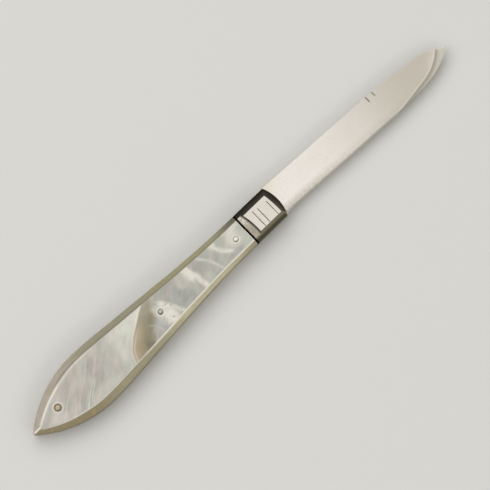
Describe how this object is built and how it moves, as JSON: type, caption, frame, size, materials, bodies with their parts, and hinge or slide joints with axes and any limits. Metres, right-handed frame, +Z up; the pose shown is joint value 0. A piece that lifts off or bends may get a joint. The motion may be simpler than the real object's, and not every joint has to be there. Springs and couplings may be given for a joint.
{
  "type": "folding fruit knife",
  "caption": "Folding fruit knife with a silver blade, silver bolsters and bevelled mother-of-pearl scales, shown open; the blade folds into the handle against a back spring.",
  "frame": {"origin": "middle of the open knife's box, on the surface that it lies on", "axes": "+X from the butt to the blade tip, +Y towards the back spring, +Z up, out of the front face"},
  "size_m": [0.1444, 0.0158, 0.0067],
  "materials": {
    "blade_silver": "polished silver with fine scratches",
    "spring_steel": "filed and tempered",
    "liner_silver": "worn silver",
    "bolster_silver": "polished silver, tarnished in the bevels",
    "pearl": "polished mother of pearl",
    "pin_silver": "domed, tarnished round the rim"
  },
  "bodies": {
    "handle": {"back_spring": "spring_steel", "front_liner": "liner_silver", "rear_liner": "liner_silver", "front_bolster": "bolster_silver", "rear_bolster": "bolster_silver", "front_scale": "pearl", "rear_scale": "pearl", "pivot_pin": "bolster_silver", "spring_pin": "spring_steel", "butt_pin": "pin_silver", "front_middle_pin": "pin_silver", "rear_middle_pin": "pin_silver", "front_neck_pin": "pin_silver", "rear_neck_pin": "pin_silver"},
    "blade": {"blade": "blade_silver"}
  },
  "joints": [
    {"name": "blade_pivot", "type": "hinge", "parent": "handle", "child": "blade", "pos_m": [0.00783, -0.001, 0.00335], "axis": [0, 0, -1], "range_deg": [0, 178], "deforming": ["back_spring"]}
  ]
}
